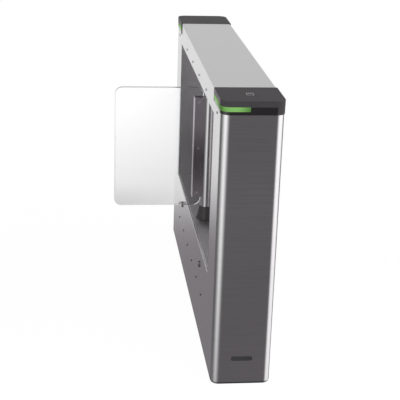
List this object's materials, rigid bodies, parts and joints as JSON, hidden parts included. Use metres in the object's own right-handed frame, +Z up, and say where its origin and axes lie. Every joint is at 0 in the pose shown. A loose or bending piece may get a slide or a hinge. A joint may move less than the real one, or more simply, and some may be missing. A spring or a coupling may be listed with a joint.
{
  "type": "swing turnstile",
  "caption": "Slim stainless steel swing turnstile pedestal: a clear wing on a driven post parks in an open side bay, with light bands in black end caps.",
  "frame": {"origin": "middle of the base plate's underside, on the floor", "axes": "+Z up, +Y along the cabinet, +X across it away from the lane; the wing points to -X at rest"},
  "size_m": [0.5136, 1.5052, 1.001],
  "materials": {
    "shell_steel": "fine brushed stainless steel",
    "bay_steel": "dull brushed stainless lining",
    "frame_steel": "zinc plated steel",
    "cap_plastic": "finely textured black plastic",
    "light_strip": "lit green light guide",
    "dark_gloss": "glossy dark plastic",
    "black_plastic": "black plastic",
    "toggle_plastic": "smooth plastic",
    "circuit_board": "green circuit board",
    "rubber": "black rubber",
    "polished_steel": "polished stainless steel",
    "clamp_metal": "dark satin metal with bright edges",
    "screw_steel": "bright screws",
    "clear_acrylic": "clear acrylic sheet with polished edges",
    "machined_steel": "machined steel",
    "black_paint": "black painted steel"
  },
  "bodies": {
    "cabinet": {"near_end_shell": "shell_steel", "far_end_shell": "shell_steel", "lane_side_panel": "shell_steel", "outer_side_panel": "shell_steel", "top_cover": "shell_steel", "bay_floor": "bay_steel", "bay_ceiling": "bay_steel", "bay_back_wall": "bay_steel", "near_bulkhead": "bay_steel", "far_bulkhead": "bay_steel", "drive_plate": "frame_steel", "drive_columns": "frame_steel", "bearing_housing": "frame_steel", "upper_bearing_block": "frame_steel", "din_rail": "frame_steel", "board_standoffs": "frame_steel", "power_supply": "frame_steel", "near_cap_base": "cap_plastic", "far_cap_base": "cap_plastic", "near_cap_lid": "cap_plastic", "far_cap_lid": "cap_plastic", "near_light_guide": "light_strip", "far_light_guide": "light_strip", "near_cap_trim": "dark_gloss", "far_cap_trim": "dark_gloss", "sensor_eyes": "dark_gloss", "beam_lenses": "dark_gloss", "front_badge": "dark_gloss", "post_collar": "black_plastic", "beam_sensors": "black_plastic", "card_reader": "black_plastic", "position_sensor": "black_plastic", "circuit_breaker": "black_plastic", "near_light_board": "circuit_board", "far_light_board": "circuit_board", "eye_boards": "circuit_board", "control_board": "circuit_board", "cable_grommet": "rubber", "stop_buffers": "rubber", "outer_panel_screws": "screw_steel", "drive_screws": "screw_steel", "lower_bearing": "machined_steel", "base_plate": "black_paint", "gear_motor": "black_paint", "brake_coil": "black_paint"},
    "wing": {"post_tube": "polished_steel", "post_shaft": "polished_steel", "post_top_pin": "polished_steel", "front_clamp_jaw": "clamp_metal", "rear_clamp_jaw": "clamp_metal", "clamp_gaskets": "rubber", "wing_panel": "clear_acrylic", "clamp_screws": "screw_steel", "drive_gear": "machined_steel", "stop_arm": "machined_steel", "position_disc": "machined_steel"},
    "rotor": {"pinion_shaft": "machined_steel", "brake_disc": "machined_steel"},
    "toggle": {"breaker_toggle": "toggle_plastic"}
  },
  "joints": [
    {"name": "wing_swing", "type": "hinge", "parent": "cabinet", "child": "wing", "pos_m": [-0.0465, 0, 0.6], "axis": [0, 0, 1], "range_deg": [-90, 90]},
    {"name": "motor_spin", "type": "hinge", "parent": "cabinet", "child": "rotor", "pos_m": [0.0255, 0, 0.28], "axis": [0, 0, 1], "range_deg": [-205, 205]},
    {"name": "breaker_throw", "type": "hinge", "parent": "cabinet", "child": "toggle", "pos_m": [0.04, -0.19, 0.0785], "axis": [0, -1, 0], "range_deg": [0, 50]}
  ],
  "couplings": [
    {"joint": "motor_spin", "follows": "wing_swing", "ratio": -2.2727}
  ]
}
